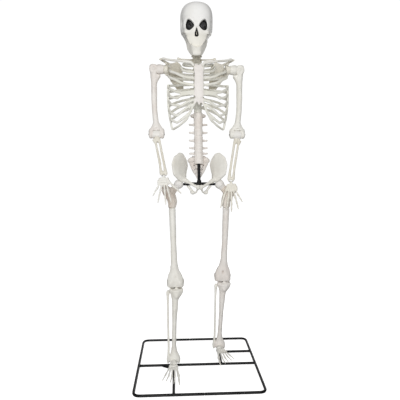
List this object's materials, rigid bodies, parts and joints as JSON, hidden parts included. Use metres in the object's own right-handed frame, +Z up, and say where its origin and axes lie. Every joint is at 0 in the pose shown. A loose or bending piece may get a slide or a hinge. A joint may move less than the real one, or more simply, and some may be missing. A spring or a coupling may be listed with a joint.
{
  "type": "human skeleton display figure",
  "caption": "Giant free-standing human skeleton of moulded hollow bones on a black tube floor frame, with turning head, hinged jaw and posable arms.",
  "frame": {"origin": "middle of the base frame, on the floor", "axes": "+Z up, -Y the way the figure faces, +X the figure's left"},
  "size_m": [1.2362, 1.1912, 3.655],
  "materials": {
    "bone_plastic": "off-white moulded bone plastic, satin, with a tan wash in the recesses",
    "black_steel": "black powder coat on 25 mm tube",
    "eye_plastic": "dark mottled glossy insert",
    "bright_steel": "zinc-plated pins and axles"
  },
  "bodies": {
    "frame_legs_and_trunk": {"base_right_rail": "black_steel", "base_left_rail": "black_steel", "base_cross_bar": "black_steel", "base_front_bar": "black_steel", "base_rear_bar": "black_steel", "base_side_bar": "black_steel", "base_brace": "black_steel", "right_leg_socket": "black_steel", "left_leg_socket": "black_steel", "right_lower_pole": "black_steel", "left_lower_pole": "black_steel", "right_upper_pole": "black_steel", "left_upper_pole": "black_steel", "hip_bar": "black_steel", "spine_post": "black_steel", "right_foot": "bone_plastic", "left_foot": "bone_plastic", "right_tibia": "bone_plastic", "left_tibia": "bone_plastic", "right_fibula": "bone_plastic", "left_fibula": "bone_plastic", "right_femur_lower": "bone_plastic", "left_femur_lower": "bone_plastic", "right_femur_upper": "bone_plastic", "left_femur_upper": "bone_plastic", "right_hip_bone": "bone_plastic", "left_hip_bone": "bone_plastic", "sacrum": "bone_plastic", "lumbar_spine": "bone_plastic", "rib_cage_back": "bone_plastic", "rib_cage_front": "bone_plastic", "right_scapula": "bone_plastic", "left_scapula": "bone_plastic", "right_clavicle": "bone_plastic", "left_clavicle": "bone_plastic", "cervical_spine": "bone_plastic"},
    "neck": {"neck_swivel": "bone_plastic", "nod_axle": "bright_steel"},
    "head": {"skull_front": "bone_plastic", "skull_back": "bone_plastic", "right_eye": "eye_plastic", "left_eye": "eye_plastic", "jaw_axle": "bright_steel"},
    "jaw": {"mandible": "bone_plastic"},
    "right_shoulder": {"right_shoulder_knuckle": "bone_plastic", "right_shoulder_pin": "bright_steel"},
    "right_upper_arm": {"right_humerus": "bone_plastic", "right_elbow_pin": "bright_steel"},
    "right_lower_arm": {"right_forearm": "bone_plastic", "right_wrist_pin": "bright_steel"},
    "right_hand": {"right_hand": "bone_plastic"},
    "left_shoulder": {"left_shoulder_knuckle": "bone_plastic", "left_shoulder_pin": "bright_steel"},
    "left_upper_arm": {"left_humerus": "bone_plastic", "left_elbow_pin": "bright_steel"},
    "left_lower_arm": {"left_forearm": "bone_plastic", "left_wrist_pin": "bright_steel"},
    "left_hand": {"left_hand": "bone_plastic"}
  },
  "joints": [
    {"name": "head_turn", "type": "hinge", "parent": "frame_legs_and_trunk", "child": "neck", "pos_m": [-0.004, 0.113, 3.24], "axis": [0, 0, 1], "range_deg": [-45, 45]},
    {"name": "head_nod", "type": "hinge", "parent": "neck", "child": "head", "pos_m": [-0.004, 0.105, 3.29], "axis": [1, 0, 0], "range_deg": [-15, 4]},
    {"name": "jaw_open", "type": "hinge", "parent": "head", "child": "jaw", "pos_m": [-0.004, 0.04, 3.3], "axis": [1, 0, 0], "range_deg": [0, 10]},
    {"name": "right_shoulder_swing", "type": "hinge", "parent": "frame_legs_and_trunk", "child": "right_shoulder", "pos_m": [-0.358, 0.12, 3.044], "axis": [-1, 0, 0], "range_deg": [-8, 150]},
    {"name": "right_arm_raise", "type": "hinge", "parent": "right_shoulder", "child": "right_upper_arm", "pos_m": [-0.43, 0.12, 3.044], "axis": [0, 1, 0], "range_deg": [0, 80]},
    {"name": "right_elbow_bend", "type": "hinge", "parent": "right_upper_arm", "child": "right_lower_arm", "pos_m": [-0.408, 0.088, 2.388], "axis": [-1, 0, 0], "range_deg": [-25, 80]},
    {"name": "right_wrist_bend", "type": "hinge", "parent": "right_lower_arm", "child": "right_hand", "pos_m": [-0.33, -0.155, 1.972], "axis": [-1, 0, 0], "range_deg": [-35, 35]},
    {"name": "left_shoulder_swing", "type": "hinge", "parent": "frame_legs_and_trunk", "child": "left_shoulder", "pos_m": [0.366, 0.12, 3.044], "axis": [-1, 0, 0], "range_deg": [0, 150]},
    {"name": "left_arm_raise", "type": "hinge", "parent": "left_shoulder", "child": "left_upper_arm", "pos_m": [0.438, 0.12, 3.044], "axis": [0, -1, 0], "range_deg": [0, 80]},
    {"name": "left_elbow_bend", "type": "hinge", "parent": "left_upper_arm", "child": "left_lower_arm", "pos_m": [0.416, 0.088, 2.388], "axis": [-1, 0, 0], "range_deg": [0, 100]},
    {"name": "left_wrist_bend", "type": "hinge", "parent": "left_lower_arm", "child": "left_hand", "pos_m": [0.35, 0.048, 1.908], "axis": [-1, 0, 0], "range_deg": [-6, 35]}
  ]
}
